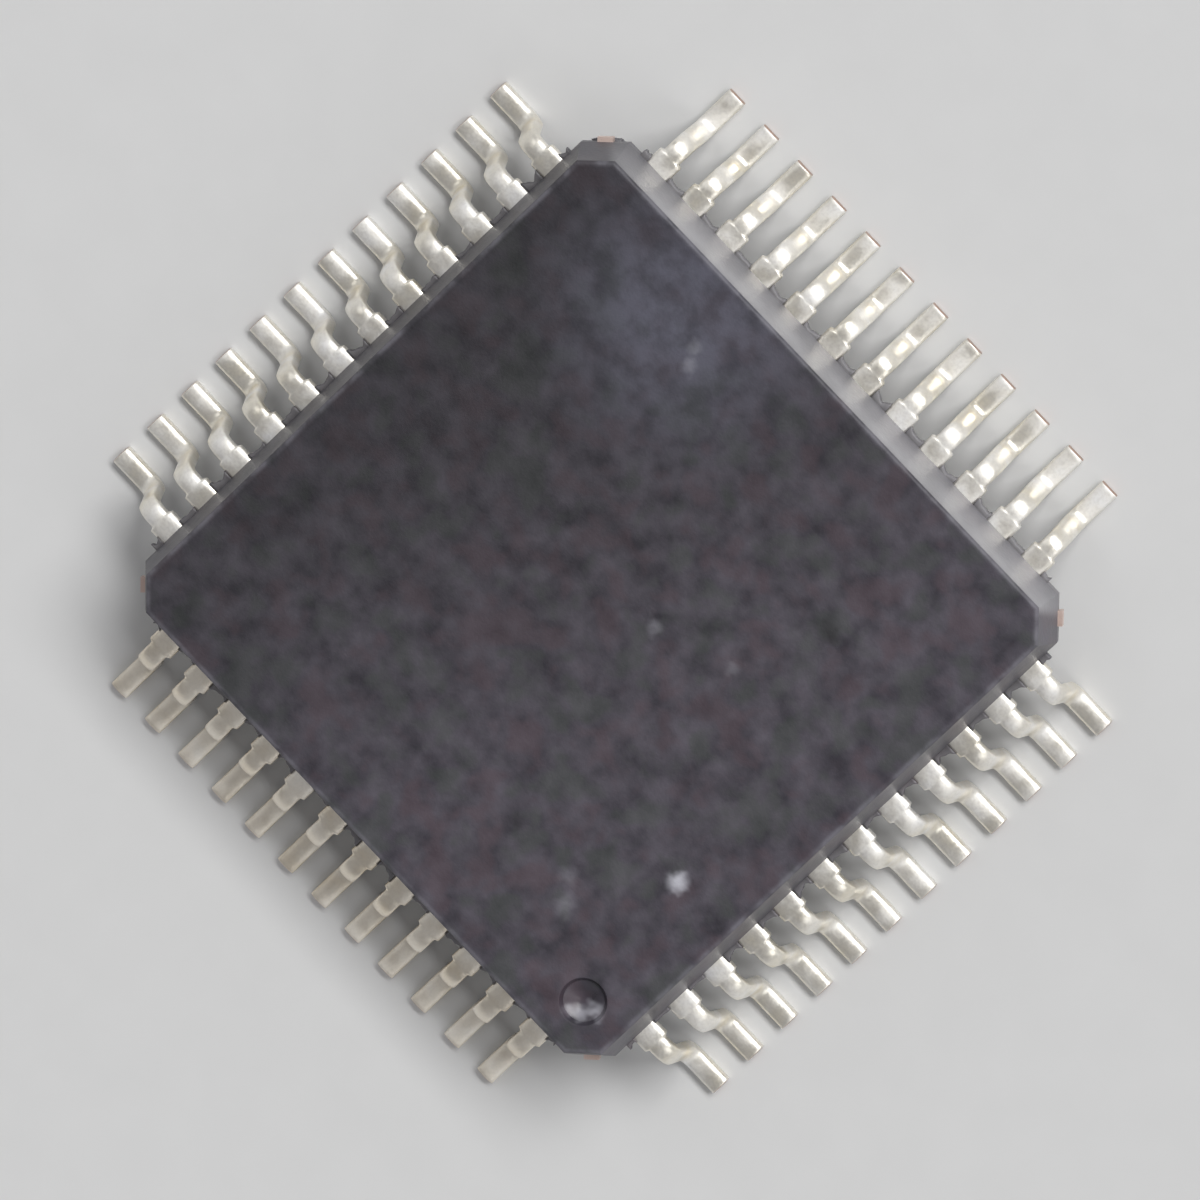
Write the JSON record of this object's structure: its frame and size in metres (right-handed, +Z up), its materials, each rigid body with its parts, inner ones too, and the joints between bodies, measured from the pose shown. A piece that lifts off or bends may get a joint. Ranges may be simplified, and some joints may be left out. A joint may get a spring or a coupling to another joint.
{
  "type": "audio processor chip",
  "caption": "Surface-mount audio processor chip: a square, flat black moulded body with tinned gull-wing leads along every side, standing just clear of the board on its feet.",
  "frame": {"origin": "on the seating plane, the plane of the feet's undersides, under the body's centre", "axes": "+Z up out of the bare top face; pin one's corner is at (+X, -Y); the first row of leads is on the +X side and runs towards +Y, and the numbers go on counter-clockwise seen from above"},
  "size_m": [0.009, 0.009, 0.0015],
  "materials": {
    "moulding_compound": "matte",
    "tinned_copper": "satin",
    "lead_frame_copper": "satin",
    "silver_epoxy": "matte",
    "silicon": "polished",
    "gold": "polished"
  },
  "bodies": {
    "root": {"mould_body": "moulding_compound", "lead_01": "tinned_copper", "lead_02": "tinned_copper", "lead_03": "tinned_copper", "lead_04": "tinned_copper", "lead_05": "tinned_copper", "lead_06": "tinned_copper", "lead_07": "tinned_copper", "lead_08": "tinned_copper", "lead_09": "tinned_copper", "lead_10": "tinned_copper", "lead_11": "tinned_copper", "lead_12": "tinned_copper", "lead_13": "tinned_copper", "lead_14": "tinned_copper", "lead_15": "tinned_copper", "lead_16": "tinned_copper", "lead_17": "tinned_copper", "lead_18": "tinned_copper", "lead_19": "tinned_copper", "lead_20": "tinned_copper", "lead_21": "tinned_copper", "lead_22": "tinned_copper", "lead_23": "tinned_copper", "lead_24": "tinned_copper", "lead_25": "tinned_copper", "lead_26": "tinned_copper", "lead_27": "tinned_copper", "lead_28": "tinned_copper", "lead_29": "tinned_copper", "lead_30": "tinned_copper", "lead_31": "tinned_copper", "lead_32": "tinned_copper", "lead_33": "tinned_copper", "lead_34": "tinned_copper", "lead_35": "tinned_copper", "lead_36": "tinned_copper", "lead_37": "tinned_copper", "lead_38": "tinned_copper", "lead_39": "tinned_copper", "lead_40": "tinned_copper", "lead_41": "tinned_copper", "lead_42": "tinned_copper", "lead_43": "tinned_copper", "lead_44": "tinned_copper", "lead_45": "tinned_copper", "lead_46": "tinned_copper", "lead_47": "tinned_copper", "lead_48": "tinned_copper", "die_pad": "lead_frame_copper", "die_attach": "silver_epoxy", "die": "silicon", "bond_wires_south": "gold", "bond_wires_east": "gold", "bond_wires_north": "gold", "bond_wires_west": "gold"}
  },
  "joints": []
}
